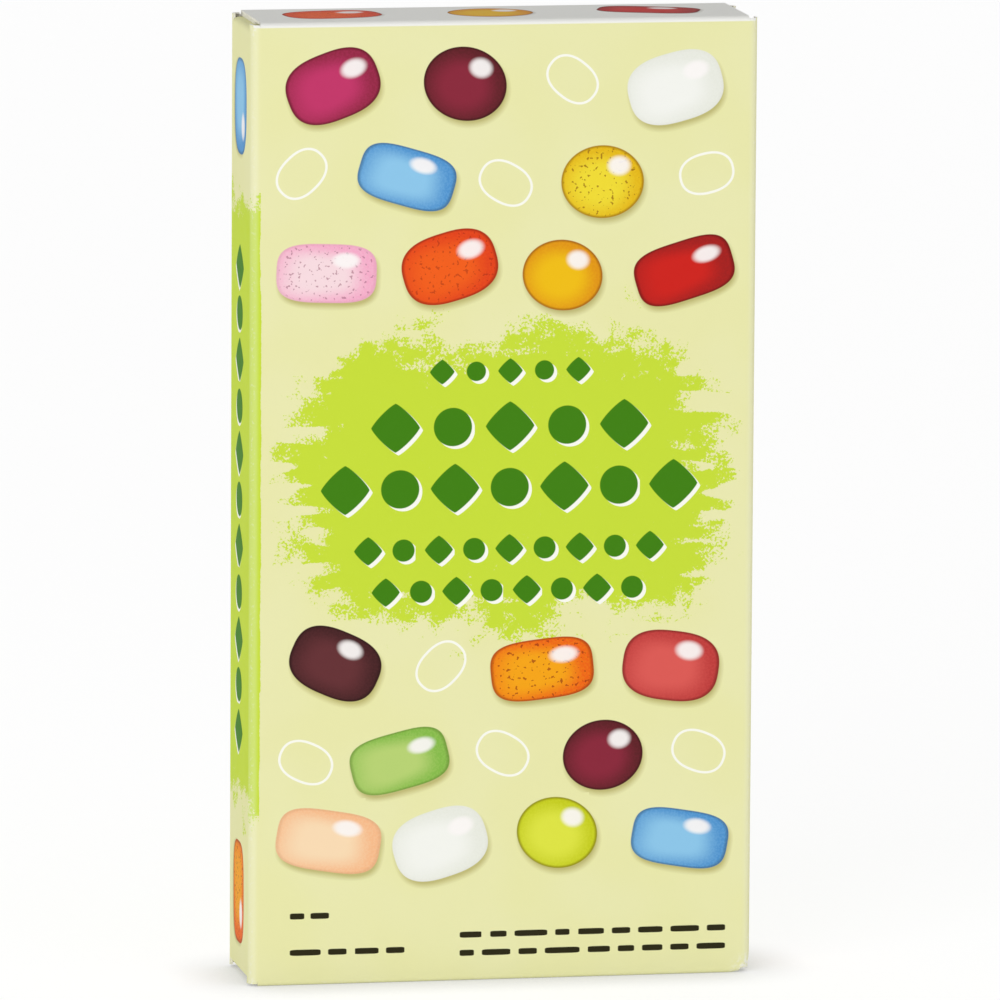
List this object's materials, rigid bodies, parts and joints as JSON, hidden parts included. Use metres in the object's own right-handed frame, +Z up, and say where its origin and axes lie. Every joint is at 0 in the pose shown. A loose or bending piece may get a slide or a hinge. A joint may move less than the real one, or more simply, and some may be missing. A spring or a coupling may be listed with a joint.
{
  "type": "shut folding carton of sweets",
  "caption": "Tall slim folding paperboard carton of small sweets, shut and glued at both ends, with rounded creases and stacked closing boards.",
  "frame": {"origin": "on the ground under the middle of the carton, which stands on its lower closing board", "axes": "+Z up along the carton's height, +X across its width to the right of a viewer who faces the front panel, +Y through its depth from the front panel to the back"},
  "size_m": [0.0832, 0.0206, 0.157],
  "materials": {
    "printed_board": "coated white paperboard under a semi-gloss print in pale yellow-green and lime, with plain candy-coloured shapes"
  },
  "bodies": {
    "root": {"carton": "printed_board"}
  },
  "joints": []
}
